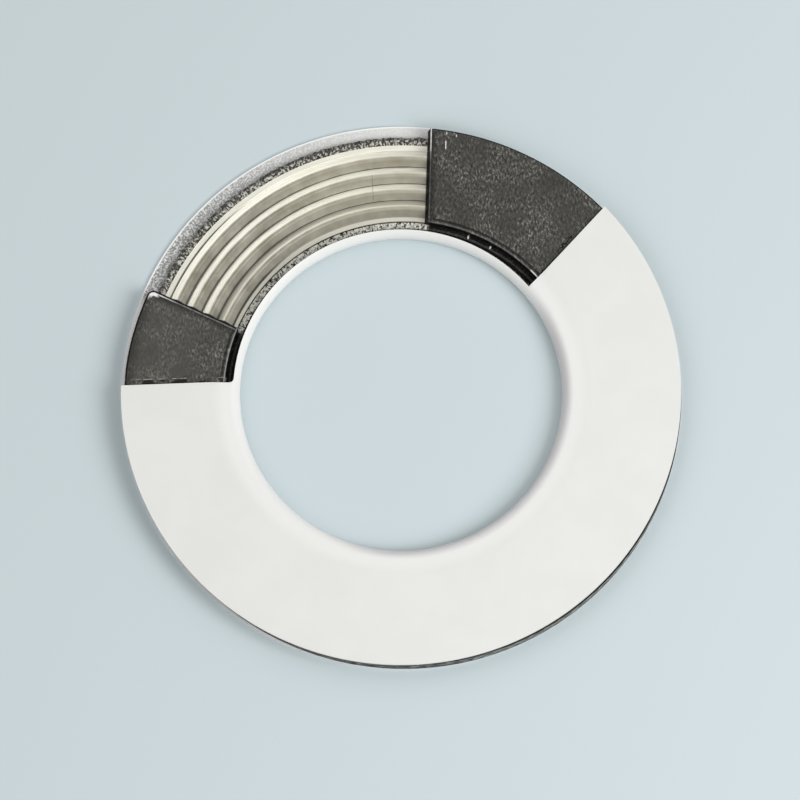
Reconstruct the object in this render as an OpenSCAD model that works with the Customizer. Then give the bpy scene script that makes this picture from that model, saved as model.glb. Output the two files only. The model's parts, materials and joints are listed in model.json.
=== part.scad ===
// Cut-away sample of an envelope gasket for a pipe flange, lying flat on its lower lip.
// A white envelope, folded round the bore, holds a corrugated steel ring between two graphite facings.
// The upper lip and the upper facing are cut back in steps, so each layer shows.
// The bore's axis is Z, and the lower lip's underside is at zero.

/* [Envelope] */
// Diameter of the bore
bore_d = 60.3; // [50:0.1:64]
// Diameter of the two lips
lip_d = 104.8; // [98:0.1:130]
// Thickness of the envelope's wall
wall_t = 0.5; // [0.3:0.05:0.7]
// Outer radius of the two rolled edges round the bore
nose_r = 1.4; // [1:0.05:1.5]
// Distance from the bore's wall to where the upper lip starts to dip
dip_w = 5.1; // [4:0.1:7]
// Slope of the upper lip's dip towards the bore, in degrees
dip_angle = 5.5; // [1:0.5:8]
// Width of the rolled rim that is left where the upper lip is cut away
rim_w = 1.25; // [0.9:0.05:2]

/* [Steel core] */
// Number of ridges pressed into the sheet
ridge_count = 4; // [2:1:6]
// Thickness of the sheet
sheet_t = 0.5; // [0.3:0.05:0.6]
// Rise of the sheet's middle line from a valley to a ridge, before the bends are rounded
ridge_h = 1.5; // [0.8:0.1:2]
// Inside radius of the bends
bend_r = 0.3; // [0.1:0.05:0.4]
// Width of the flat rim at the inner edge
inner_rim_w = 0.85; // [0.6:0.05:2]
// Width of the flat rim at the outer edge
outer_rim_w = 1.1; // [0.6:0.05:2]

/* [Graphite facings] */
// Thickness of each facing where it is thinnest, over the ridges and under the rims
facing_t = 0.75; // [0.4:0.05:1.2]
// Distance from the bore's wall to the inner edge of the core
core_inset = 3.85; // [3.4:0.05:5]
// Width of the upper facing inside the core
upper_margin_w = 0.35; // [0.05:0.05:0.8]
// Width of both facings outside the core
margin_w = 3; // [2.2:0.1:6]
// Width of the lower facing's outer margin that is left in the window
torn_w = 1.6; // [0.5:0.1:2]
// Distance from the facings' outer edge to the lips' edge
lip_overhang = 0.5; // [0.1:0.1:2]

/* [Insert in the envelope] */
// Distance by which the insert lies off the bore's axis
insert_shift = 0.75; // [0:0.05:0.9]
// Direction of that shift, in degrees
insert_shift_angle = 318; // [0:1:359]
// Least gap between the insert and the envelope's curved parts
insert_gap = 0.05; // [0.02:0.01:0.2]

/* [Cuts] */
// Upper lip, first cut: angle at the rolled rim, in degrees
lip_cut_a_rim = 40.2; // [20:0.1:60]
// Upper lip, first cut: angle at the lip's edge, in degrees
lip_cut_a_edge = 43; // [20:0.1:60]
// Upper lip, second cut: angle at the rolled rim, in degrees
lip_cut_b_rim = 177; // [165:0.1:190]
// Upper lip, second cut: angle at the lip's edge, in degrees
lip_cut_b_edge = 178.9; // [165:0.1:190]
// Window in the facings, first cut: angle at the inner edge, in degrees
window_a_rim = 82.3; // [70:0.1:100]
// Window in the facings, first cut: angle at the outer edge, in degrees
window_a_edge = 84.5; // [70:0.1:100]
// Window in the facings, second cut: angle at the inner edge, in degrees
window_b_rim = 157.7; // [140:0.1:164]
// Window in the facings, second cut: angle at the outer edge, in degrees
window_b_edge = 156.8; // [140:0.1:164]

/* [Hidden] */
$fn = 96;

// Steps in each rounded bend of the sheet
bend_steps = 4;
// Corners on the far side of a cut, well outside the gasket
far_corners = 4;
// Length by which a cutting body passes the face that it cuts
past = 1;
// Depth by which the dip's line ends inside the upper roll, so that the two join
seam = 0.0005;

bore_r = bore_d / 2;
lip_r = lip_d / 2;
insert_r = lip_r - lip_overhang;
core_in_r = bore_r + core_inset;
core_out_r = insert_r - margin_w;
ridge_pitch = (core_out_r - core_in_r - inner_rim_w - outer_rim_w) / ridge_count;

// The sheet's middle line, from the inner rim over the ridges to the outer rim
rim_z = wall_t + facing_t + sheet_t / 2;
first_valley_r = core_in_r + inner_rim_w;
ridges = [for (i = [0:ridge_count - 1], half = [1, 2])
    [first_valley_r + (i + half / 2) * ridge_pitch, half == 1 ? rim_z + ridge_h : rim_z]];
sheet_line = concat([[core_in_r, rim_z], [first_valley_r, rim_z]], ridges, [[core_out_r, rim_z]]);
sheet_top = rounded(shifted(sheet_line, sheet_t / 2), bend_r, bend_r + sheet_t);
sheet_bottom = rounded(shifted(sheet_line, -sheet_t / 2), bend_r + sheet_t, bend_r);

facing_top_z = max([for (p = sheet_top) p[1]]) + facing_t;
total_t = facing_top_z + wall_t;

// The nose: two rolled edges joined by the bore's wall, and the dip that runs into the upper one
nose_axis_r = bore_r + nose_r;
dip_r = bore_r + dip_w;
upper_roll_z = total_t - (dip_r - nose_axis_r) * tan(dip_angle) - nose_r / cos(dip_angle);
bore_wall_h = upper_roll_z - nose_r;
trim_r = bore_r + rim_w;

// The insert keeps clear of the rolled edges and of the dip on every side, wherever it is shifted to
lower_facing_in_r = nose_axis_r + insert_shift + insert_gap;
upper_facing_in_r = core_in_r - upper_margin_w;
dip_under_r = dip_r + wall_t * (1 / cos(dip_angle) - 1) / tan(dip_angle);
bevel_r = dip_under_r + insert_shift + insert_gap;
bevel_z = facing_top_z - (bevel_r - upper_facing_in_r) * tan(dip_angle);

lip_cut = [[lip_cut_a_rim, lip_cut_a_edge], [lip_cut_b_rim, lip_cut_b_edge]];
window_cut = [[window_a_rim, window_a_edge], [window_b_rim, window_b_edge]];

// Point at a radius and an angle
function polar(r, a) = [r * cos(a), r * sin(a)];

function unit(v) = v / norm(v);

function left_of(v) = [-v[1], v[0]];

// Path moved sideways to its left by a distance, with mitred corners
function shifted(path, distance) = [for (i = [0:len(path) - 1])
    let (
        before = left_of(unit(i > 0 ? path[i] - path[i - 1] : path[1] - path[0])),
        after = i < len(path) - 1 ? left_of(unit(path[i + 1] - path[i])) : before
    )
    path[i] + (before + after) * distance / (1 + before * after)];

// Arc that rounds the corner at b, on the way from a to c
function bend(a, b, c, left_r, right_r) =
    let (
        back = unit(a - b),
        ahead = unit(c - b),
        turns_left = cross(b - a, c - b) > 0,
        r = turns_left ? left_r : right_r,
        half = acos(back * ahead) / 2,
        centre = b + unit(back + ahead) * r / sin(half),
        start = b + back * r / tan(half) - centre,
        sweep = (180 - 2 * half) * (turns_left ? 1 : -1)
    )
    [for (k = [0:bend_steps]) centre + polar(r, atan2(start[1], start[0]) + sweep * k / bend_steps)];

// Path with its corners rounded, by one radius where it turns left and another where it turns right
function rounded(path, left_r, right_r) = concat(
    [path[0]],
    [for (i = [1:len(path) - 2]) each bend(path[i - 1], path[i], path[i + 1], left_r, right_r)],
    [path[len(path) - 1]]);

function reversed(list) = [for (i = [len(list) - 1:-1:0]) list[i]];

// Section of the envelope's outer form, or of the room inside it when inset is the wall's thickness
module envelope_form(inset, edge_r) {
    roll_r = nose_r - inset;
    top_z = total_t - inset;
    dip_start_r = inset > 0 ? dip_under_r : dip_r;
    roll_centre = [nose_axis_r, upper_roll_z];
    polygon([
        [nose_axis_r, inset],
        [edge_r, inset],
        [edge_r, top_z],
        [dip_start_r, top_z],
        roll_centre + polar(roll_r - seam, 90 + dip_angle),
        roll_centre
    ]);
    translate([nose_axis_r, nose_r]) circle(roll_r);
    translate(roll_centre) circle(roll_r);
    translate([bore_r + inset, nose_r]) square([roll_r, bore_wall_h]);
}

// Body that cuts a sector out of a ring, outside a radius, between two straight edges.
// Each edge is given by its angles at that radius and at the ring's edge.
module sector_cut(inner_r, edges, from_z, to_z) {
    near = [for (e = edges) polar(inner_r, e[0])];
    far = [for (i = [0, 1]) near[i] + 2 * (polar(lip_r, edges[i][1]) - near[i])];
    span = edges[1][1] - edges[0][1];
    around = [for (i = [0:far_corners]) polar(3 * lip_r, edges[0][1] + span * i / far_corners)];
    difference() {
        translate([0, 0, from_z])
            linear_extrude(to_z - from_z)
                polygon(concat([near[0], far[0]], around, [far[1], near[1]]));
        translate([0, 0, from_z - past])
            cylinder(r = inner_r, h = to_z - from_z + 2 * past);
    }
}

// Places the layers of the insert where they lie in the envelope
module in_envelope() {
    translate(polar(insert_shift, insert_shift_angle)) children();
}

module envelope() {
    color("#efede8")
        difference() {
            rotate_extrude()
                difference() {
                    envelope_form(0, lip_r);
                    envelope_form(wall_t, lip_r + past);
                }
            sector_cut(trim_r, lip_cut, rim_z, total_t + past);
        }
}

module upper_facing() {
    color("#4d4b47")
        in_envelope()
            difference() {
                rotate_extrude()
                    polygon(concat(
                        [[upper_facing_in_r, rim_z], [core_in_r, rim_z]],
                        sheet_top,
                        [[core_out_r, rim_z], [insert_r, rim_z], [insert_r, facing_top_z]],
                        [[bevel_r, facing_top_z], [upper_facing_in_r, bevel_z]]));
                sector_cut(upper_facing_in_r - past, window_cut, wall_t, total_t);
            }
}

module corrugated_core() {
    color("#d8d4c6")
        in_envelope()
            rotate_extrude()
                polygon(concat(sheet_top, reversed(sheet_bottom)));
}

module lower_facing() {
    color("#5a5852")
        in_envelope()
            difference() {
                rotate_extrude()
                    polygon(concat(
                        [[lower_facing_in_r, wall_t], [insert_r, wall_t], [insert_r, rim_z]],
                        [[core_out_r, rim_z]],
                        reversed(sheet_bottom),
                        [[core_in_r, rim_z], [lower_facing_in_r, rim_z]]));
                sector_cut(core_out_r + torn_w, window_cut, 0, total_t);
            }
}

envelope();
upper_facing();
corrugated_core();
lower_facing();
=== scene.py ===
import json
import math

import bmesh
import bpy
from mathutils import Matrix, Vector, noise


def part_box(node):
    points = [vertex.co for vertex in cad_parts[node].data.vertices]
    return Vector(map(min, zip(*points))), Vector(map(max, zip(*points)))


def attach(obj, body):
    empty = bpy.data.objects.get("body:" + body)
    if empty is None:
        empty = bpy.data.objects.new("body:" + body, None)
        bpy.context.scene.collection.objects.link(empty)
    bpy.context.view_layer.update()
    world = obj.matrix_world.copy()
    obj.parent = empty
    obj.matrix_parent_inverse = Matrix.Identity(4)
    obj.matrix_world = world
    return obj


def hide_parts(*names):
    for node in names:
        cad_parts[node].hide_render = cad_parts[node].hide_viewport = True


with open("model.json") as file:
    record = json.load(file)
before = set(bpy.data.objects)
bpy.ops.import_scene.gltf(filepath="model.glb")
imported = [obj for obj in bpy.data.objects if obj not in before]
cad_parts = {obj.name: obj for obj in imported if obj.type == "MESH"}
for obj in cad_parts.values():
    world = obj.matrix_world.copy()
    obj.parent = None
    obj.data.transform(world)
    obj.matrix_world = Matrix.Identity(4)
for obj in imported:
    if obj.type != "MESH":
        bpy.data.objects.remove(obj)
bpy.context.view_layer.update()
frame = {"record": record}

# Envelope: one jacket of white PTFE with a C-shaped section, skived thin and folded round the bore.
# Its lower lip is whole; the upper lip is cut away with a knife over a third of the ring, down to the
# rolled rim of the nose, and graphite dust from the insert has rubbed off on what the cut laid bare.
MM = 0.001
AXIS = Vector((0, 0, 1))
ORIGIN = Vector((0, 0, 0))
# Lengths in metres and angles in degrees below which two places count as one
HAIR = 1e-7
HAIR_ANGLE = 1e-4

bore_r = frame["record"]["mounts"][0]["dims"]["r_mm"] * MM
lip_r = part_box("envelope")[1].x
total_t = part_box("envelope")[1].z
half_t = total_t / 2
wall_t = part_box("lower_facing")[0].z
nose_r = 1.4 * MM
inner_nose_r = nose_r - wall_t
upper_roll_r = 2.2 * MM
inner_roll_r = 1.6 * MM
dip_r = bore_r + 5.1 * MM
dip_blend_r = 16 * MM
dip_slope = math.tan(math.radians(5.5))
dip_stretch = math.hypot(1, dip_slope)
dip_under_r = dip_r + wall_t * (dip_stretch - 1) / dip_slope
nose_top = total_t - (dip_r - bore_r) * dip_slope
nose_under = nose_top + wall_t * dip_slope - wall_t * dip_stretch
roll_centre = Vector((bore_r + upper_roll_r, 0, nose_top + upper_roll_r * (dip_slope - dip_stretch)))
trim_r = bore_r + 1.25 * MM
groove_end_r = 0.9 * MM
knife_edge_w = 0.05 * MM
lip_cuts = ((40.2, 43.0), (177.0, 178.9))


def section(bm, corners):
    """Flat section in the XZ plane, its corners given as (radius, height, rounding)."""
    facet = math.radians(8)
    verts = [bm.verts.new((r, 0, z)) for r, z, _ in corners]
    bm.faces.new(verts)
    for vert, (_, _, rounding) in zip(verts, corners):
        if rounding:
            sides = [edge.other_vert(vert).co - vert.co for edge in vert.link_edges]
            opening = sides[0].angle(sides[1])
            setback = rounding / math.tan(opening / 2)
            steps = max(3, round((math.pi - opening) / facet))
            bmesh.ops.bevel(bm, geom=[vert], offset=setback, offset_type="OFFSET", segments=steps,
                            profile=0.5, affect="VERTICES", material=-1)


def split_at(bm, radius):
    """Divides the section's faces where they pass a radius."""
    geom = bm.verts[:] + bm.edges[:] + bm.faces[:]
    bmesh.ops.bisect_plane(bm, geom=geom, plane_co=(radius, 0, 0), plane_no=(1, 0, 0), dist=HAIR)


def faces_of(geom):
    return [g for g in geom if isinstance(g, bmesh.types.BMFace)]


def turned_copy(bm, geom, degrees):
    """Copies geometry, turned about the bore's axis, and returns the copy."""
    copy = bmesh.ops.duplicate(bm, geom=geom)["geom"]
    verts = [g for g in copy if isinstance(g, bmesh.types.BMVert)]
    bmesh.ops.rotate(bm, verts=verts, cent=ORIGIN, matrix=Matrix.Rotation(math.radians(degrees), 3, "Z"))
    return copy


def spin_sector(bm, faces, start, end, doublings, steps=6):
    """Spins section faces round the bore from one angle to another, in degrees: a short slice first,
    which is then doubled several times. The sector's two ends stay open."""
    slice_angle = (end - start) / 2 ** doublings
    first = turned_copy(bm, faces, start)
    before = set(bm.faces)
    sweep = math.radians(slice_angle)
    last = bmesh.ops.spin(bm, geom=first, cent=ORIGIN, axis=AXIS, angle=sweep, steps=steps)["geom_last"]
    bmesh.ops.delete(bm, geom=faces_of(first) + faces_of(last), context="FACES_ONLY")
    skin = [f for f in bm.faces if f not in before]
    for doubling in range(doublings):
        skin += faces_of(turned_copy(bm, skin, slice_angle * 2 ** doubling))


def degrees_round(co):
    """Angle of a point round the bore's axis, in degrees."""
    return math.degrees(math.atan2(co.y, co.x))


def slant_cuts(bm, cuts, inner_r, outer_r):
    """Turns the vertices about the bore's axis, so that each of the two cuts runs between its own two
    angles, one at the inner radius and one at the outer."""
    (rim_a, edge_a), (rim_b, edge_b) = cuts
    span = rim_b - rim_a
    for vert in bm.verts:
        out = (vert.co.xy.length - inner_r) / (outer_r - inner_r)
        along = (degrees_round(vert.co) - rim_a) % 360
        share = along / span if along < span else (360 - along) / (360 - span)
        lean = (edge_a - rim_a) * (1 - share) + (edge_b - rim_b) * share
        vert.co.rotate(Matrix.Rotation(math.radians(lean * out), 3, "Z"))


def weld(bm, template):
    """Removes the section that was spun, joins the sectors and points the faces outwards."""
    bmesh.ops.delete(bm, geom=template, context="FACES")
    bmesh.ops.delete(bm, geom=[e for e in bm.edges if not e.link_faces], context="EDGES")
    bmesh.ops.remove_doubles(bm, verts=bm.verts[:], dist=HAIR)
    bmesh.ops.recalc_face_normals(bm, faces=bm.faces[:])


def soften_edges(bm, width, segments, sharper_than):
    """Rounds the edges whose faces meet at more than an angle in degrees."""
    limit = math.radians(sharper_than)
    edges = [e for e in bm.edges if len(e.link_faces) == 2 and e.calc_face_angle() > limit]
    bmesh.ops.bevel(bm, geom=edges, offset=width, offset_type="OFFSET", segments=segments, profile=0.5,
                    affect="EDGES", clamp_overlap=True, material=-1)


def piece(name, bm, material, node):
    """Makes the mesh a piece that takes its finish from a slot and may stand for a CAD node."""
    mesh = bpy.data.meshes.new(name)
    bm.to_mesh(mesh)
    bm.free()
    mesh.polygons.foreach_set("use_smooth", [True] * len(mesh.polygons))
    mesh.materials.append(material)
    obj = bpy.data.objects.new(name, mesh)
    bpy.context.scene.collection.objects.link(obj)
    flat = obj.modifiers.new("even_shading", "WEIGHTED_NORMAL")
    flat.keep_sharp = True
    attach(obj, "root")
    if node:
        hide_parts(node)


def new_finish(name):
    """Material with a Principled shader: the material, its node tree and the shader."""
    material = bpy.data.materials.new(name)
    material.use_nodes = True
    return material, material.node_tree, material.node_tree.nodes["Principled BSDF"]


def add(tree, kind, inputs, **settings):
    """Adds a node; inputs maps socket names or numbers to values or to other nodes' outputs."""
    made = tree.nodes.new(kind)
    for key, value in settings.items():
        setattr(made, key, value)
    for key, value in inputs.items():
        if isinstance(value, bpy.types.NodeSocket):
            tree.links.new(value, made.inputs[key])
        else:
            made.inputs[key].default_value = value
    return made


def calc(tree, operation, *values):
    return add(tree, "ShaderNodeMath", dict(enumerate(values)), operation=operation).outputs[0]


def product(tree, first, *others):
    """Product of values: of masks, what lies in all of them."""
    for other in others:
        first = calc(tree, "MULTIPLY", first, other)
    return first


def between(tree, value, start, end, low=0.0, high=1.0):
    """Value that goes smoothly from low to high while another goes from start to end."""
    inputs = {"Value": value, "From Min": start, "From Max": end, "To Min": low, "To Max": high}
    return add(tree, "ShaderNodeMapRange", inputs, interpolation_type="SMOOTHSTEP").outputs[0]


def band(tree, value, start, full_from, full_to, end):
    """Mask of a range of values with two soft ends."""
    return product(tree, between(tree, value, start, full_from), between(tree, value, end, full_to))


def blend(tree, share, a, b):
    """Colour between a and b."""
    return add(tree, "ShaderNodeMix", {"Factor": share, 6: a, 7: b}, data_type="RGBA").outputs[2]


def speckle(tree, place, scale, detail=3.0, rough=0.6):
    """Noise about one half, in cycles per millimetre."""
    inputs = {"Vector": place, "Scale": scale, "Detail": detail, "Roughness": rough}
    return add(tree, "ShaderNodeTexNoise", inputs).outputs["Fac"]


def polar(tree, centre):
    """Place in millimetres about an upright axis: the point, its radius, its angle from +Y and its height."""
    coordinate = add(tree, "ShaderNodeTexCoord", {}).outputs["Object"]
    inputs = {"Vector": coordinate, "Location": -centre / MM, "Scale": (1 / MM, 1 / MM, 1 / MM)}
    point = add(tree, "ShaderNodeMapping", inputs).outputs[0]
    flat = add(tree, "ShaderNodeVectorMath", {0: point, 1: (1, 1, 0)}, operation="MULTIPLY").outputs[0]
    radius = add(tree, "ShaderNodeVectorMath", {0: flat}, operation="LENGTH").outputs["Value"]
    axes = add(tree, "ShaderNodeSeparateXYZ", {0: point}).outputs
    angle = calc(tree, "ARCTAN2", axes["X"], axes["Y"])
    return point, radius, angle, axes["Z"]


def towards(tree, angle, centre):
    """One at an angle round the axis, falling to minus one on the opposite side."""
    return calc(tree, "COSINE", calc(tree, "SUBTRACT", angle, centre))


def past_corner(tree, a, b):
    """Distance from a rounded corner's centre, from the distances past it in two directions."""
    squares = [calc(tree, "POWER", calc(tree, "MAXIMUM", value, 0.0), 2.0) for value in (a, b)]
    return calc(tree, "SQRT", calc(tree, "ADD", *squares))


def bumped(tree, shader, height, strength, depth_mm):
    bump = add(tree, "ShaderNodeBump", {"Height": height, "Strength": strength, "Distance": depth_mm * MM})
    tree.links.new(bump.outputs[0], shader.inputs["Normal"])


def white_ptfe():
    """Waxy white film with faint skiving marks, cleaner on the nose. The bare rim of the lower lip is paler
    as painted light, and the roll at the lower right of the bore is greyer as painted shade. It is rubbed
    with graphite in the window, and inside the fold it is near-black: graphite dust deepened as painted
    shade."""
    film_tones = ((0.78, 0.78, 0.76, 1), (0.80, 0.80, 0.78, 1))
    nose_film = (0.84, 0.84, 0.825, 1)
    roll_shade_film = (0.66, 0.645, 0.65, 1)
    rim_light_film = (0.93, 0.93, 0.93, 1)
    rubbed_tones = ((0.78, 0.78, 0.77, 1), (0.15, 0.15, 0.145, 1))
    dust_and_shade_tones = ((0.012, 0.012, 0.012, 1), (0.30, 0.30, 0.29, 1))

    material, tree, shader = new_finish("white_ptfe")
    point, radius, angle, height = polar(tree, ORIGIN)
    clouds = speckle(tree, point, 0.10, 2.0)
    film = blend(tree, between(tree, clouds, 0.3, 0.7), *film_tones)
    film = blend(tree, between(tree, radius, 35.5, 33.0), film, nose_film)
    # Painted shade: the film on the roll round the bore is greyer on the side towards the lower right.
    shaded_side = between(tree, towards(tree, angle, 2.2), 0.15, 0.6)
    roll_shade = product(tree, shaded_side, between(tree, radius, 32.5, 31.0))
    film = blend(tree, roll_shade, film, roll_shade_film)
    # Painted light: the bare rim of the lower lip is made paler to lift the strip that the facing's wall
    # shades.
    rim_light = product(tree, between(tree, radius, 51.4, 51.8), between(tree, height, 1.0, 0.8))
    film = blend(tree, rim_light, film, rim_light_film)

    inside = band(tree, height, 0.40, 0.46, 3.4, 3.5)
    grains = speckle(tree, point, 2.4, 4.0, 0.8)
    spread = between(tree, angle, 0.0, -1.0, 0.12, 0.85)
    rubbed = product(tree, between(tree, grains, 0.58, 0.46), spread)
    margin = product(tree, inside, band(tree, radius, 45.0, 46.0, 52.05, 52.2),
                     band(tree, angle, -1.24, -1.18, 0.20, 0.25))
    dusted_and_shaded = blend(tree, margin, film, blend(tree, rubbed, *rubbed_tones))

    # Inside the fold the film is near-black: graphite dust, with painted shade standing in for the dark
    # recess.
    inwards = calc(tree, "SUBTRACT", roll_centre.x / MM, radius)
    upwards = calc(tree, "SUBTRACT", height, roll_centre.z / MM)
    depth = calc(tree, "SUBTRACT", upper_roll_r / MM, past_corner(tree, inwards, upwards))
    fold = product(tree, inside, between(tree, depth, 0.2, 0.3), band(tree, radius, 30.55, 30.65, 33.2, 33.6))
    dust_and_shade = blend(tree, between(tree, grains, 0.40, 0.62), *dust_and_shade_tones)
    dusted_and_shaded = blend(tree, fold, dusted_and_shaded, dust_and_shade)
    tree.links.new(dusted_and_shaded, shader.inputs["Base Color"])

    rings = add(tree, "ShaderNodeTexNoise", {"W": radius, "Scale": 2.5, "Detail": 3.0}, noise_dimensions="1D")
    marks = calc(tree, "ADD", rings.outputs["Fac"], clouds)
    bumped(tree, shader, marks, 0.08, 0.02)
    tree.links.new(between(tree, clouds, 0.3, 0.7, 0.36, 0.44), shader.inputs["Roughness"])
    shader.inputs["Subsurface Weight"].default_value = 0.10
    shader.inputs["Subsurface Radius"].default_value = (1.0, 0.95, 0.9)
    shader.inputs["Subsurface Scale"].default_value = 0.6 * MM
    shader.inputs["IOR"].default_value = 1.38
    return material


bm = bmesh.new()
section(bm, [
    (lip_r, 0, 0),
    (lip_r, wall_t, 0),
    (bore_r + wall_t, wall_t, inner_nose_r),
    (bore_r + wall_t, nose_under, inner_roll_r),
    (dip_under_r, total_t - wall_t, dip_blend_r),
    (lip_r, total_t - wall_t, 0),
    (lip_r, total_t, 0),
    (dip_r, total_t, dip_blend_r),
    (bore_r, nose_top, upper_roll_r),
    (bore_r, 0, nose_r),
])
split_at(bm, trim_r)
split_at(bm, trim_r + groove_end_r)
template = bm.faces[:]
middles = {f: f.calc_center_median() for f in template}
over_rim = [f for f in template if middles[f].x > trim_r and middles[f].z > half_t]
end_strip = [f for f in over_rim if middles[f].x < trim_r + groove_end_r]
upper_lip = [f for f in over_rim if f not in end_strip]
rest = [f for f in template if f not in over_rim]
lip_a, lip_b = lip_cuts[0][0], lip_cuts[1][0]
groove_end = lip_b - math.degrees(groove_end_r / trim_r)
spin_sector(bm, template, lip_b, lip_a + 360, 5)
spin_sector(bm, rest, lip_a, groove_end, 4)
spin_sector(bm, rest + end_strip, groove_end, lip_b, 0)
turned_copy(bm, over_rim, lip_a)
turned_copy(bm, upper_lip, lip_b)
trimmed = [v.co.copy() for v in bm.verts
           if abs(v.co.x - trim_r) < HAIR and abs(v.co.y) < HAIR and v.co.z > half_t]
for vert in bm.verts:
    radius = vert.co.xy.length
    left = lip_b - degrees_round(vert.co)
    beside_cut = -HAIR_ANGLE < left < lip_b - groove_end + HAIR_ANGLE and vert.co.z > half_t
    if beside_cut and HAIR < radius - trim_r < groove_end_r + HAIR:
        run = max(0, groove_end_r - math.radians(left) * trim_r)
        reach = 1 - math.sqrt(max(0, 1 - (run / groove_end_r) ** 2))
        foot = min(trimmed, key=lambda co: abs(co.z - vert.co.z))
        share = reach if left > HAIR_ANGLE else 1
        new_radius = trim_r + (radius - trim_r) * share
        vert.co.xy *= new_radius / radius
        vert.co.z = foot.z + (vert.co.z - foot.z) * share
weld(bm, template)
slant_cuts(bm, lip_cuts, trim_r, lip_r)
soften_edges(bm, knife_edge_w, segments=2, sharper_than=40)
piece("ptfe_envelope", bm, white_ptfe(), "envelope")

# Lower facing: a ring of soft expanded graphite under the steel core, moulded to its corrugations.
# Where the upper facing was peeled away its margins are torn: flaky chips inside the core's edge,
# and a ragged dark strip outside it, beyond which the lower lip is bare.
core_low, core_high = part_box("corrugated_core")
facing_low, facing_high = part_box("lower_facing")
insert_axis = (core_low + core_high) / 2
insert_axis.z = 0
insert_shift = insert_axis.length
insert_gap = 0.05 * MM
insert_r = (facing_high.x - facing_low.x) / 2
core_out_r = (core_high.x - core_low.x) / 2
core_in_r = bore_r + 3.85 * MM
inner_rim_w = 0.85 * MM
outer_rim_w = 1.1 * MM
sheet_t = 0.5 * MM
ridge_h = 1.5 * MM
ridge_count = 4
bend_r = 0.3 * MM
rim_z = core_low.z + sheet_t / 2
first_valley_r = core_in_r + inner_rim_w
pitch = (core_out_r - outer_rim_w - first_valley_r) / ridge_count
torn_r = core_out_r + 1.6 * MM
torn_depth = 0.22 * MM
ragged_w = 0.25 * MM
flake_w = 0.14 * MM
lower_in_r = bore_r + nose_r + insert_shift + insert_gap
windows = ((82.3, 84.5), (157.7, 156.8))


def pressed_line(offset):
    """Corners of the corrugated sheet's upper or lower surface, offset from its middle line."""
    slope = math.atan2(ridge_h, pitch / 2)
    lift = offset / math.cos(slope)
    creep = offset * math.tan(slope / 2)
    left_r, right_r = (bend_r, bend_r + sheet_t) if offset > 0 else (bend_r + sheet_t, bend_r)
    last_valley_r = first_valley_r + ridge_count * pitch
    line = [(core_in_r, rim_z + offset, 0), (first_valley_r - creep, rim_z + offset, left_r)]
    for i in range(ridge_count):
        line.append((first_valley_r + (i + 0.5) * pitch, rim_z + ridge_h + lift, right_r))
        line.append((first_valley_r + (i + 1) * pitch, rim_z + lift, left_r))
    line[-1] = (last_valley_r + creep, rim_z + offset, left_r)
    line.append((core_out_r, rim_z + offset, 0))
    return line


def moulded_line(offset):
    """The same corners with tighter bends, for the graphite pressed against the sheet."""
    return [(r, z, 0.6 * rounding) for r, z, rounding in pressed_line(offset)]


def divide_edges(bm, spacing, edges):
    """Divides straight edges into lengths of about the spacing."""
    for edge in edges:
        cuts = math.ceil(edge.calc_length() / spacing) - 1
        if cuts > 0:
            bmesh.ops.subdivide_edges(bm, edges=[edge], cuts=cuts)


def chips(radius, angle):
    """Level of the torn flakes from 0 to 1: small plates with pits between them."""
    across = radius / (0.36 * MM)
    along = radius * angle / (0.28 * MM)
    plate = noise.noise(Vector((across, along, 0.3)))
    plate += 0.6 * noise.noise(Vector((across * 2.1, along * 1.9, 7.1)))
    level = min(1, max(0, 0.5 + 0.8 * plate))
    return 0.5 * level + 0.5 * round(level * 3) / 3


def ramp(tree, level, stops):
    """Grey, a little warm, that follows a level through stops of (level, brightness)."""
    made = add(tree, "ShaderNodeValToRGB", {"Fac": level})
    elements = made.color_ramp.elements
    elements[0].position = stops[0][0]
    elements[1].position = stops[-1][0]
    for place, _ in stops[1:-1]:
        elements.new(place)
    for element, (_, grey) in zip(elements, stops):
        element.color = (grey, 0.98 * grey, 0.88 * grey, 1)
    return made.outputs["Color"]


def frayed_side(tree, angle, height):
    """Cut outer side of a facing: dark layers along the ring with light flecks, paler on the side that faces
    the key lamp as painted light.
    """
    along = calc(tree, "MULTIPLY", angle, 0.5 * insert_r / MM)
    layers = {0: along, 1: calc(tree, "MULTIPLY", height, 1.8)}
    layers = add(tree, "ShaderNodeCombineXYZ", layers).outputs[0]
    # Painted light: the side is paler where it faces the lamp on the right.
    rubbed = between(tree, towards(tree, angle, 2.0), 0.4, 0.7, 0.0, 0.055)
    level = calc(tree, "ADD", speckle(tree, layers, 1.0, 4.0, 0.7), rubbed)
    return ramp(tree, level, ((0.40, 0.02), (0.50, 0.07), (0.57, 0.19), (0.70, 0.60)))


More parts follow.
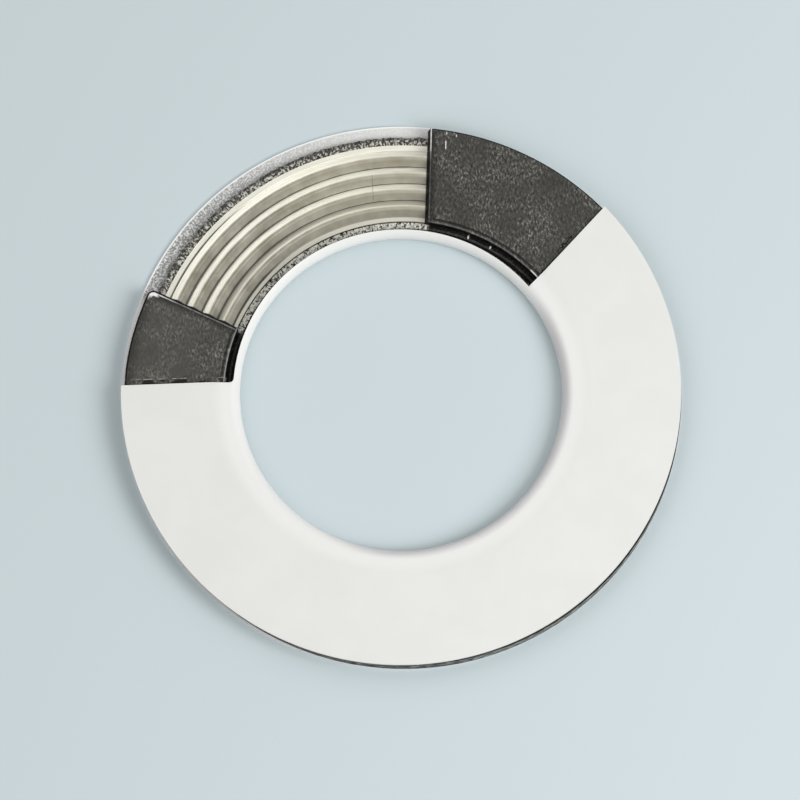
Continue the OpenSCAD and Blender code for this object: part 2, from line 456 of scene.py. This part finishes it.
def lower_graphite():
    """Torn graphite: pale chips on the strip inside the core and darker flakes outside it. In the groove
    beside the rolled rim, which was not peeled, the strip is near-black as painted shade, with a dark grey
    strip in it; painted shade also darkens the torn strip next to the rim and next to the core's inner edge."""
    ragged_edge = (0.035, 0.034, 0.032, 1)
    groove_grey = (0.11, 0.108, 0.10, 1)
    rim_shade = (0.006, 0.006, 0.006, 1)
    core_shade = (0.015, 0.015, 0.014, 1)
    middle_r = 40.0

    material, tree, shader = new_finish("lower_graphite")
    point, radius, angle, height = polar(tree, insert_axis)
    torn = add(tree, "ShaderNodeAttribute", {}, attribute_name="torn").outputs["Fac"]
    fine = speckle(tree, point, 4.0, 4.0, 0.7)
    nearest_r = between(tree, radius, middle_r, middle_r + 1.0, core_in_r / MM, core_out_r / MM)
    arc = calc(tree, "MULTIPLY", angle, nearest_r)
    plan = {0: calc(tree, "MULTIPLY", radius, 2.8), 1: calc(tree, "MULTIPLY", arc, 3.8)}
    plan = add(tree, "ShaderNodeCombineXYZ", plan).outputs[0]
    plates = add(tree, "ShaderNodeTexVoronoi", {"Vector": plan, "Scale": 1.0}, voronoi_dimensions="2D")
    plate = add(tree, "ShaderNodeSeparateColor", {0: plates.outputs["Color"]}).outputs["Red"]
    level = calc(tree, "ADD", calc(tree, "MULTIPLY", plate, 0.45), calc(tree, "MULTIPLY", torn, 0.25))
    level = calc(tree, "ADD", level, calc(tree, "MULTIPLY", fine, 0.30))
    pale = ramp(tree, level, ((0.22, 0.02), (0.33, 0.06), (0.39, 0.36), (0.49, 0.60), (0.63, 0.90)))
    dull = ramp(tree, level, ((0.22, 0.03), (0.42, 0.07), (0.50, 0.12), (0.58, 0.36), (0.74, 0.65)))
    # Painted shade: a near-black copy of the torn graphite for the shaded groove outside the window.
    groove_shade = ramp(tree, level, ((0.3, 0.006), (0.6, 0.012), (0.8, 0.04)))

    bared = band(tree, angle, -1.195, -1.180, 0.130, 0.145)
    inner_strip = between(tree, radius, middle_r, middle_r - 0.1)
    colour = blend(tree, inner_strip, dull, blend(tree, bared, groove_shade, pale))
    outermost = between(tree, radius, torn_r / MM - 0.65, torn_r / MM - 0.45, 0.0, 0.6)
    colour = blend(tree, product(tree, outermost, bared), colour, ragged_edge)
    # In the groove, a dark grey strip next to the rim; painted shade along the rim and along the core's inner
    # edge.
    from_rim = calc(tree, "SUBTRACT", radius, lower_in_r / MM)
    covered = calc(tree, "SUBTRACT", 1.0, bared)
    strip = product(tree, band(tree, from_rim, 0.25, 0.35, 0.65, 0.85), covered, level)
    colour = blend(tree, strip, colour, groove_grey)
    colour = blend(tree, between(tree, from_rim, 0.42, 0.28), colour, rim_shade)
    to_core = calc(tree, "SUBTRACT", core_in_r / MM, radius)
    colour = blend(tree, band(tree, to_core, -0.05, 0.0, 0.10, 0.22), colour, core_shade)
    outer_side = between(tree, radius, insert_r / MM - 0.2, insert_r / MM - 0.1)
    colour = blend(tree, outer_side, colour, frayed_side(tree, angle, height))
    tree.links.new(colour, shader.inputs["Base Color"])
    tree.links.new(between(tree, fine, 0.3, 0.7, 0.50, 0.7), shader.inputs["Roughness"])
    shader.inputs["Specular IOR Level"].default_value = 0.1
    bumped(tree, shader, level, 0.5, 0.06)
    return material


bm = bmesh.new()
section(bm, [
    (lower_in_r, wall_t, 0),
    (insert_r, wall_t, 0),
    (insert_r, rim_z, 0),
    (core_out_r, rim_z, 0),
    *reversed(moulded_line(-sheet_t / 2)),
    (core_in_r, rim_z, 0),
    (lower_in_r, rim_z, 0),
])
split_at(bm, torn_r)


def on_margin(vert):
    """Whether a corner of the section lies on the flat inside or outside the core."""
    under_core = core_in_r + HAIR < vert.co.x < core_out_r - HAIR
    return abs(vert.co.z - rim_z) < HAIR and not under_core


divide_edges(bm, flake_w, [e for e in bm.edges if all(map(on_margin, e.verts))])
template = bm.faces[:]
outer_part = [f for f in template if f.calc_center_median().x > torn_r]
inner_part = [f for f in template if f not in outer_part]
window_a, window_b = windows[0][0], windows[1][0]
spin_sector(bm, inner_part, window_a, window_b, 6)
spin_sector(bm, template, window_b, lip_b, 3)
spin_sector(bm, template, lip_b, lip_a + 360, 4)
spin_sector(bm, template, lip_a, window_a, 4)
for angle in (window_a, window_b):
    turned_copy(bm, outer_part, angle)
weld(bm, template)
torn = bm.verts.layers.float.new("torn")
for vert in bm.verts:
    radius = vert.co.xy.length
    angle = math.atan2(vert.co.y, vert.co.x)
    inner = radius < core_in_r + HAIR
    vert[torn] = chips(radius, angle)
    if abs(vert.co.z - rim_z) < HAIR and lip_a < math.degrees(angle) % 360 < lip_b:
        to_edge = min(radius - lower_in_r, core_in_r - radius) if inner else radius - core_out_r
        vert.co.z -= (1 - vert[torn]) * torn_depth * min(1, max(0, to_edge / torn_depth))
    if abs(radius - torn_r) < HAIR:
        from_end = min(math.degrees(angle) - window_a, window_b - math.degrees(angle))
        ragged = ragged_w * noise.noise(Vector((angle * 60, 3.7, 0.5))) * min(1, max(0, from_end))
        vert.co.xy *= 1 + ragged / radius
slant_cuts(bm, windows, lower_in_r, lip_r)
bmesh.ops.translate(bm, verts=bm.verts[:], vec=insert_axis)
piece("graphite_lower_facing", bm, lower_graphite(), "lower_facing")

# Core: a ring of thin stainless sheet, pressed into four concentric ridges between two flat rims.
# Rolling has left fine rings along the ridges, and graphite with painted shade darkens the bottoms of the
# valleys.
sheet_edge_w = 0.06 * MM


def on_plan(radius, degrees):
    return Vector((math.cos(math.radians(degrees)), math.sin(math.radians(degrees)), 0)) * radius


def cut_line(cut, inner_r, outer_r, centre):
    """The two ends of a straight cut round a centre, in millimetres from the insert's axis."""
    ends = (on_plan(inner_r, cut[0]), on_plan(outer_r, cut[1]))
    return [(end + centre - insert_axis) / MM for end in ends]


def beside_line(tree, point, start, end):
    """Distances of a point from a straight line on plan: to the left of it, and along it from its start."""
    ahead = (end - start).normalized()
    left = Vector((-ahead.y, ahead.x, 0))
    across = add(tree, "ShaderNodeVectorMath", {0: point, 1: left}, operation="DOT_PRODUCT").outputs["Value"]
    along = add(tree, "ShaderNodeVectorMath", {0: point, 1: ahead}, operation="DOT_PRODUCT").outputs["Value"]
    return calc(tree, "SUBTRACT", across, left.dot(start)), calc(tree, "SUBTRACT", along, ahead.dot(start))


def stroke(tree, point, start, end, width):
    """Mask of a short straight mark."""
    across, along = beside_line(tree, point, start, end)
    length = (end - start).length
    body = between(tree, calc(tree, "ABSOLUTE", across), width, 0.4 * width)
    return product(tree, body, band(tree, along, 0.0, 0.3, length - 0.3, length))


def largest(tree, first, *others):
    """Largest of values: of masks, what lies in any of them."""
    for other in others:
        first = calc(tree, "MAXIMUM", first, other)
    return first


def pressed_steel():
    """Bright pressed sheet with soft grain along the ridges. Peeling has left a darker film of graphite on
    the slopes that face the bore, which also stands in as painted shade; the film runs over the crests, the
    inner rim, the first ridge and the outermost band, where it tones down their highlights, and it darkens
    towards the left. Dark lines in the valleys are graphite with painted shade, and black strips beside the
    two cuts are graphite smear with painted shadow."""
    steel_tones = ((0.90, 0.885, 0.79, 1), (0.97, 0.955, 0.865, 1))
    grain_grey = (0.60, 0.585, 0.52, 1)
    film_tones = ((0.34, 0.316, 0.245, 1), (0.185, 0.173, 0.134, 1))
    dull_grey = (0.36, 0.345, 0.30, 1)
    soot_and_shade_black = (0.02, 0.019, 0.016, 1)
    scratch_grey = (0.10, 0.095, 0.08, 1)

    material, tree, shader = new_finish("stainless_sheet")
    point, radius, angle, _ = polar(tree, insert_axis)
    sweep = calc(tree, "MULTIPLY", angle, core_out_r / MM)
    along = {0: calc(tree, "MULTIPLY", radius, 3.2), 1: calc(tree, "MULTIPLY", sweep, 0.10)}
    along = add(tree, "ShaderNodeCombineXYZ", along).outputs[0]
    grain = speckle(tree, along, 1.0, 3.0, 0.6)
    clouds = speckle(tree, point, 0.22, 3.0)
    steel = blend(tree, between(tree, clouds, 0.3, 0.7), *steel_tones)
    steel = blend(tree, between(tree, grain, 0.60, 0.35, 0.0, 0.2), steel, grain_grey)

    # Painted shade, partly graphite film: darker on the slopes facing the bore and over the crests, on the
    # inner rim, the first ridge and the outermost band to tone down their highlights, and darker towards the
    # left.
    turns = calc(tree, "DIVIDE", calc(tree, "SUBTRACT", radius, first_valley_r / MM), pitch / MM)
    place = calc(tree, "FRACT", turns)
    on_ridges = band(tree, turns, 0.0, 0.02, 3.98, 4.0)
    cloudy = between(tree, clouds, 0.2, 0.8, 0.75, 1.0)
    film = product(tree, band(tree, place, 0.0, 0.06, 0.46, 0.85), on_ridges, cloudy)
    first = product(tree, between(tree, turns, -0.02, 0.02, 0.45, 0.7), between(tree, turns, 1.02, 0.98))
    last = product(tree, between(tree, turns, 3.55, 3.70), between(tree, turns, 3.98, 4.02, 0.46, 0.28))
    film = largest(tree, film, first, last)
    steel = blend(tree, film, steel, blend(tree, between(tree, angle, -0.1, -0.9), *film_tones))

    # Black strips beside the two cuts: graphite smear with painted shadow of the facing's cut side.
    beside_a = beside_line(tree, point, *cut_line(windows[0], lower_in_r, lip_r, insert_axis))[0]
    beside_b = beside_line(tree, point, *reversed(cut_line(windows[1], lower_in_r, lip_r, insert_axis)))[0]
    smear_and_shadow = largest(tree, between(tree, beside_a, 0.60, 0.40), between(tree, beside_b, 0.36, 0.22))
    # Dark lines in the valleys: graphite with painted shade, wider towards the left and fainter next to the
    # rims except on the left.
    to_valley = calc(tree, "MULTIPLY", calc(tree, "PINGPONG", turns, 0.5), pitch / MM)
    wider_left = between(tree, angle, -0.2, -1.1, 0.03, 0.11)
    width = calc(tree, "ADD", wider_left, calc(tree, "MULTIPLY", clouds, 0.12))
    line = between(tree, calc(tree, "SUBTRACT", to_valley, width), 0.08, -0.03)
    at_rims = largest(tree, between(tree, turns, 0.15, 0.10), between(tree, turns, 3.85, 3.90))
    cleaner = product(tree, at_rims, between(tree, angle, -0.85, -0.62, 0.0, 0.8))
    line = product(tree, line, 0.88, calc(tree, "SUBTRACT", 1.0, cleaner))
    soot_and_shade = largest(tree, line, smear_and_shadow)
    dull = product(tree, between(tree, beside_a, 5.0, 1.0, 0.0, 0.5), between(tree, grain, 0.42, 0.58))
    steel = blend(tree, dull, steel, dull_grey)
    steel = blend(tree, soot_and_shade, steel, soot_and_shade_black)
    scratch = stroke(tree, point, on_plan(38.2, 98.7), on_plan(43.4, 98.0), 0.10)
    steel = blend(tree, calc(tree, "MULTIPLY", scratch, 0.5), steel, scratch_grey)
    tree.links.new(steel, shader.inputs["Base Color"])
    dirt_and_shade = largest(tree, soot_and_shade, calc(tree, "MULTIPLY", film, 0.3))
    bright = calc(tree, "SUBTRACT", 0.8, calc(tree, "MULTIPLY", dirt_and_shade, 0.6))
    tree.links.new(bright, shader.inputs["Metallic"])
    tree.links.new(between(tree, grain, 0.3, 0.7, 0.52, 0.60), shader.inputs["Roughness"])
    shader.inputs["Specular IOR Level"].default_value = 0.2
    bumped(tree, shader, grain, 0.03, 0.02)
    return material


bm = bmesh.new()
section(bm, pressed_line(sheet_t / 2) + pressed_line(-sheet_t / 2)[::-1])
template = bm.faces[:]
spin_sector(bm, template, 0, 360, 6)
weld(bm, template)
soften_edges(bm, sheet_edge_w, segments=2, sharper_than=60)
bmesh.ops.translate(bm, verts=bm.verts[:], vec=insert_axis)
piece("steel_core", bm, pressed_steel(), "corrugated_core")

# Upper facing: a second ring of expanded graphite, moulded over the ridges and rolled flat on top.
# A window is cut out of it with a knife; the cuts' edges are pressed over and carry painted highlights, the
# corner beside the left cut is worn round, and the edge swells a little where the lip starts to hold it.
facing_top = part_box("upper_facing")[1].z
upper_in_r = core_in_r - 0.35 * MM
bevel_r = dip_under_r + insert_shift + insert_gap
bevel_z = facing_top - (bevel_r - upper_in_r) * dip_slope
worn_corner_r = 1.3 * MM
corner_end = window_b + 2.5
cut_lean = (0.5 * MM, 0.2 * MM)
swell = 0.45 * MM
swell_end = lip_b + 25
flat_margin_w = 2.5 * MM
pressed_edge_w = 0.09 * MM


def upper_graphite():
    """Rolled graphite: dark grey with fine lighter flakes. It is black along the cuts and edges as painted
    shade and shadow, with dark blotches and a wavy dark line beside the lip's cuts and a darker strip inside
    the inner edge; pale painted highlights run along the cut edges, the worn corner and the inner edge, with
    a few light marks.
    """
    shade_and_mark_black = (0.007, 0.007, 0.007, 1)
    highlight_and_mark_pale = (0.86, 0.85, 0.83, 1)
    cut_side_shade = (0.003, 0.003, 0.003, 1)

    material, tree, shader = new_finish("upper_graphite")
    point, radius, angle, height = polar(tree, insert_axis)
    turned = {"Vector": point, "Rotation": (0, 0, 0.5), "Scale": (2.6, 1.3, 1.3)}
    flakes = speckle(tree, add(tree, "ShaderNodeMapping", turned).outputs[0], 1.0, 5.0, 0.72)
    clouds = speckle(tree, point, 0.16, 3.0)
    blotches = speckle(tree, point, 0.7, 3.0)
    on_left = between(tree, angle, -0.9, -1.0)
    on_right = calc(tree, "SUBTRACT", 1.0, on_left)
    rolled = product(tree, on_left, between(tree, radius, 38.5, 42.0, 0.0, 0.7))
    contrast = calc(tree, "SUBTRACT", between(tree, clouds, 0.36, 0.6, 0.9, 1.7), rolled)
    spread = calc(tree, "MULTIPLY", calc(tree, "SUBTRACT", flakes, 0.5), contrast)
    tone = calc(tree, "ADD", calc(tree, "ADD", spread, 0.37), calc(tree, "MULTIPLY", clouds, 0.26))
    tone = calc(tree, "ADD", tone, calc(tree, "MULTIPLY", on_left, 0.06))
    colour = ramp(tree, tone, ((0.26, 0.018), (0.46, 0.056), (0.54, 0.075), (0.64, 0.13), (0.80, 0.32)))

    to_a = beside_line(tree, point, *reversed(cut_line(windows[0], upper_in_r, insert_r, insert_axis)))[0]
    to_b = beside_line(tree, point, *cut_line(windows[1], upper_in_r, insert_r, insert_axis))[0]
    to_lip_a = beside_line(tree, point, *cut_line(lip_cuts[0], trim_r, lip_r, ORIGIN))[0]
    to_lip_b = beside_line(tree, point, *reversed(cut_line(lip_cuts[1], trim_r, lip_r, ORIGIN)))[0]
    start, top, end = (math.radians(90 - degrees) for degrees in (window_b, lip_b, swell_end))
    swollen = product(tree, between(tree, angle, start, top, 0.0, swell / MM), between(tree, angle, end, top))
    to_outer = calc(tree, "SUBTRACT", calc(tree, "ADD", swollen, insert_r / MM), radius)
    to_inner = calc(tree, "SUBTRACT", radius, upper_in_r / MM)
    corner_r = worn_corner_r / MM
    past_cut = calc(tree, "SUBTRACT", corner_r, to_b)
    past_rim = calc(tree, "SUBTRACT", corner_r, to_outer)
    to_worn = calc(tree, "SUBTRACT", corner_r, past_corner(tree, past_cut, past_rim))

    # Painted shade and shadow on the left patch: black round the worn corner and at the lip's cut, darker
    # inside the window's cut and towards the outer edge, with dark blotches beside the lip's cut.
    patchy = between(tree, blotches, 0.47, 0.57, 0.0, 0.9)
    left_dark = largest(
        tree,
        between(tree, to_worn, 0.42, 0.30),
        between(tree, to_b, 2.0, 0.5, 0, 0.75),
        between(tree, to_outer, 2.6, 0.3, 0, 0.5),
        between(tree, to_lip_b, 0.34, 0.16),
        product(tree, between(tree, to_lip_b, 1.9, 0.7), patchy),
    )
    # Painted shade and shadow on the right patch: darker inside the window's cut, black lines at the lip's
    # cut and at the outer edge; crack draws a wavy dark line beside the lip's cut.
    wander = calc(tree, "ADD", to_lip_a, between(tree, blotches, 0.35, 0.65, -0.3, 0.3))
    crack = product(tree, band(tree, wander, 0.60, 0.72, 0.92, 1.06),
                    band(tree, radius, 39.8, 40.1, 43.9, 44.2))
    right_dark = largest(
        tree,
        between(tree, to_a, 1.6, 0.35, 0, 0.65),
        between(tree, to_lip_a, 0.26, 0.12),
        between(tree, to_outer, 0.30, 0.14, 0, 0.95),
        crack,
    )
    # A darker strip just inside the inner edge.
    inner_dark_strip = product(tree, band(tree, to_inner, 0.40, 0.55, 0.80, 1.05), 0.8)
    dark = largest(tree, product(tree, left_dark, on_left), product(tree, right_dark, on_right), inner_dark_strip)
    colour = blend(tree, dark, colour, shade_and_mark_black)

    # Painted highlights: pale lines along the edges of the two window cuts, on the worn corner and along the
    # inner edge, brightest near the right lip cut; also a pale line beside the left lip cut and three light
    # ticks near the right window cut.
    rough_edge = between(tree, blotches, 0.35, 0.6, 0.5, 1.0)
    edge_a = product(tree, band(tree, to_a, 0.04, 0.12, 0.22, 0.36),
                     between(tree, radius, 45.5, 49.5, 0.10, 0.95), rough_edge)
    edge_b = product(tree, band(tree, to_worn, 0.30, 0.40, 0.52, 0.66), between(tree, to_b, 2.4, 1.2),
                     between(tree, radius, 45.5, 49.5, 0.20, 0.9), rough_edge)
    corner = product(tree, band(tree, to_worn, 0.30, 0.42, 0.90, 1.10), between(tree, radius, 49.4, 50.4),
                     between(tree, to_b, 1.8, 1.0))
    inner_edge = band(tree, to_inner, 0.02, 0.08, 0.20, 0.32)
    from_line = calc(tree, "ABSOLUTE", calc(tree, "SUBTRACT", to_lip_b, 1.15))
    light = largest(
        tree,
        product(tree, largest(tree, edge_b, corner), on_left),
        product(tree, edge_a, on_right),
        product(tree, inner_edge, between(tree, angle, -0.9, -1.0, 0.08, 0.22)),
        product(tree, inner_edge, between(tree, to_lip_a, 2.2, 1.7, 0.0, 0.8)),
        product(tree, between(tree, from_line, 0.14, 0.05), between(tree, blotches, 0.50, 0.57, 0.0, 0.3)),
        stroke(tree, point, on_plan(48.1, 80.6), on_plan(50.0, 80.9), 0.12),
        stroke(tree, point, on_plan(50.9, 80.9), on_plan(51.7, 81.0), 0.10),
        stroke(tree, point, on_plan(50.8, 78.8), on_plan(51.5, 78.9), 0.09),
    )
    colour = blend(tree, light, colour, highlight_and_mark_pale)

    # The sides: the outer side is frayed, and the cut faces are nearly black as painted shade.
    side = between(tree, height, facing_top / MM - 0.25, facing_top / MM - 0.45)
    outer_side = frayed_side(tree, angle, height)
    cut_side = blend(tree, 0.9, outer_side, cut_side_shade)
    side_colour = blend(tree, between(tree, to_outer, 0.15, 0.08), cut_side, outer_side)
    colour = blend(tree, side, colour, side_colour)
    tree.links.new(colour, shader.inputs["Base Color"])
    tree.links.new(between(tree, flakes, 0.3, 0.7, 0.70, 0.50), shader.inputs["Roughness"])
    shader.inputs["Specular IOR Level"].default_value = 0.1
    bumped(tree, shader, flakes, 0.35, 0.06)
    return material


bm = bmesh.new()
section(bm, [
    (upper_in_r, rim_z, 0),
    (core_in_r, rim_z, 0),
    *moulded_line(sheet_t / 2),
    (core_out_r, rim_z, 0),
    (insert_r, rim_z, 0),
    (insert_r, facing_top, 0),
    (bevel_r, facing_top, dip_blend_r / 2),
    (upper_in_r, bevel_z, 0),
])
split_at(bm, insert_r - flat_margin_w)
template = bm.faces[:]
spin_sector(bm, template, window_b, corner_end, 0, 1)
spin_sector(bm, template, corner_end, window_a + 360, 6)
turned_copy(bm, template, window_a)
turned_copy(bm, template, window_b)
weld(bm, template)
for vert in bm.verts:
    angle = degrees_round(vert.co)
    depth = (facing_top - vert.co.z) / (facing_top - rim_z)
    for cut, lean, side in ((window_a, cut_lean[0], 1), (window_b, cut_lean[1], -1)):
        if abs(angle - cut) < HAIR_ANGLE:
            vert.co.rotate(Matrix.Rotation(side * depth * lean / vert.co.xy.length, 3, "Z"))


def at_worn_corner(vert):
    """Whether a vertex lies where the left cut, which leans by less than the limit, meets the outer edge."""
    lean_limit = 0.6
    on_edge = abs(vert.co.xy.length - insert_r) < HAIR
    return on_edge and abs(degrees_round(vert.co) - window_b) < lean_limit


corner = [e for e in bm.edges if all(map(at_worn_corner, e.verts))
          and abs(e.verts[0].co.z - e.verts[1].co.z) > wall_t]
bmesh.ops.bevel(bm, geom=corner, offset=worn_corner_r, offset_type="OFFSET", segments=8, profile=0.5,
                affect="EDGES", material=-1)


def eased(share):
    """Share held between 0 and 1, with soft ends."""
    share = min(1, max(0, share))
    return share * share * (3 - 2 * share)


for vert in bm.verts:
    radius = vert.co.xy.length
    angle = degrees_round(vert.co) % 360
    rise = eased((angle - window_b) / (lip_b - window_b))
    fall = eased((swell_end - angle) / (swell_end - lip_b))
    out = max(0, 1 - (insert_r - radius) / flat_margin_w)
    vert.co.xy *= 1 + swell * out * rise * fall / radius
slant_cuts(bm, windows, upper_in_r, insert_r)
soften_edges(bm, pressed_edge_w, segments=3, sharper_than=40)
bmesh.ops.translate(bm, verts=bm.verts[:], vec=insert_axis)
piece("graphite_upper_facing", bm, upper_graphite(), "upper_facing")

# Crumbs: shavings of the envelope's white film, which fell into the groove beside the rolled rim
# when the upper lip was cut and stuck to the torn graphite.
crumb_w = 0.4
crumb_t = 0.28
crumb_lift = 0.06 * MM


def shaved_film():
    """White film, rubbed a little grey."""
    material, tree, shader = new_finish("film_crumbs")
    grains = speckle(tree, polar(tree, ORIGIN)[0], 3.0, 3.0)
    film = blend(tree, between(tree, grains, 0.45, 0.7), (0.82, 0.82, 0.80, 1), (0.40, 0.40, 0.39, 1))
    tree.links.new(film, shader.inputs["Base Color"])
    shader.inputs["Roughness"].default_value = 0.45
    return material


bm = bmesh.new()
for place, degrees, length, lean in ((33.0, 67.5, 0.9, 15), (33.05, 59.5, 0.7, 10), (33.1, 175.2, 1.2, 85)):
    centre = on_plan(place * MM, degrees) + AXIS * (rim_z + crumb_lift)
    size = Matrix.Diagonal((length / 2, crumb_w / 2, crumb_t / 2, 1))
    turn = Matrix.Rotation(math.radians(degrees + lean), 4, "Z")
    bmesh.ops.create_icosphere(bm, subdivisions=2, radius=MM, matrix=Matrix.Translation(centre) @ turn @ size)
for vert in bm.verts:
    vert.co += noise.noise_vector(vert.co / (0.3 * MM)) * 0.05 * MM
piece("ptfe_crumbs", bm, shaved_film(), None)

# Floor: a plain pale table top, wide enough to fill every view,
# with the gasket lying on it.
floor_half_w = 3.0
floor_drop = 0.02 * MM
floor_bm = bmesh.new()
bmesh.ops.create_grid(floor_bm, x_segments=1, y_segments=1, size=floor_half_w)
floor_mesh = bpy.data.meshes.new("floor")
floor_bm.to_mesh(floor_mesh)
floor_bm.free()
floor_material, _, shader = new_finish("pale_floor")
shader.inputs["Base Color"].default_value = (0.60, 0.68, 0.71, 1)
shader.inputs["Roughness"].default_value = 0.8
shader.inputs["Specular IOR Level"].default_value = 0.05
floor_mesh.materials.append(floor_material)
floor = bpy.data.objects.new("floor", floor_mesh)
floor.location.z = -floor_drop
bpy.context.scene.collection.objects.link(floor)

# Light: a pale room, lightest high on the left and dimmer low down, most of all on the left and behind.
# A large soft lamp stands to the right, and a low card behind on the left is picked up only by the steel.
scene = bpy.context.scene
scene.view_settings.view_transform = "Standard"
low_right = (0.52, 0.52, 0.51, 1)
low_left = (0.20, 0.20, 0.20, 1)
low_front = (0.30, 0.30, 0.29, 1)
low_back = (0.24, 0.24, 0.24, 1)
high_right = (0.58, 0.58, 0.57, 1)
high_left = (0.88, 0.88, 0.87, 1)
world = bpy.data.worlds.new("pale_room")
world.use_nodes = True
tree = world.node_tree
direction = add(tree, "ShaderNodeTexCoord", {}).outputs["Generated"]
axes = add(tree, "ShaderNodeSeparateXYZ", {0: direction}).outputs
low = blend(tree, between(tree, axes["X"], 0.5, -0.5), low_right, low_left)
low = blend(tree, between(tree, axes["Y"], 0.3, -0.5), low, low_front)
low = blend(tree, between(tree, axes["Y"], 0.2, 0.8), low, low_back)
high = blend(tree, between(tree, axes["X"], 0.3, -0.3), high_right, high_left)
room = blend(tree, between(tree, axes["Z"], 0.75, 0.15), high, low)
tree.links.new(room, tree.nodes["Background"].inputs["Color"])
scene.world = world


def soft_lamp(name, place, size, power):
    """Square lamp that looks at the gasket."""
    data = bpy.data.lights.new(name, "AREA")
    data.shape = "SQUARE"
    data.size = size
    data.energy = power
    lamp = bpy.data.objects.new(name, data)
    lamp.location = place
    lamp.rotation_euler = (-Vector(place)).to_track_quat("-Z", "Y").to_euler()
    scene.collection.objects.link(lamp)
    return lamp


soft_lamp("key_lamp", (0.50, -0.24, 0.52), 0.45, 3.5)
card = soft_lamp("back_card", (-0.45, 0.65, 0.25), 0.80, 8.4)
card.visible_diffuse = False

# Camera: above the gasket and a little towards the viewer, at the photograph's angle,
# far enough off that the ring hardly narrows towards the back.
view_tilt = math.radians(14)
view_distance = 1.5
frame_width = 0.14982
aim = Vector((-0.00019, -0.00123, 0.002))
camera_data = bpy.data.cameras.new("camera")
camera_data.sensor_width = 36.0
camera_data.lens = camera_data.sensor_width * view_distance / frame_width
camera = bpy.data.objects.new("camera", camera_data)
back = Vector((0, -math.sin(view_tilt), math.cos(view_tilt)))
camera.location = aim + back * view_distance
camera.rotation_euler = (-back).to_track_quat("-Z", "Y").to_euler()
scene.collection.objects.link(camera)
scene.camera = camera
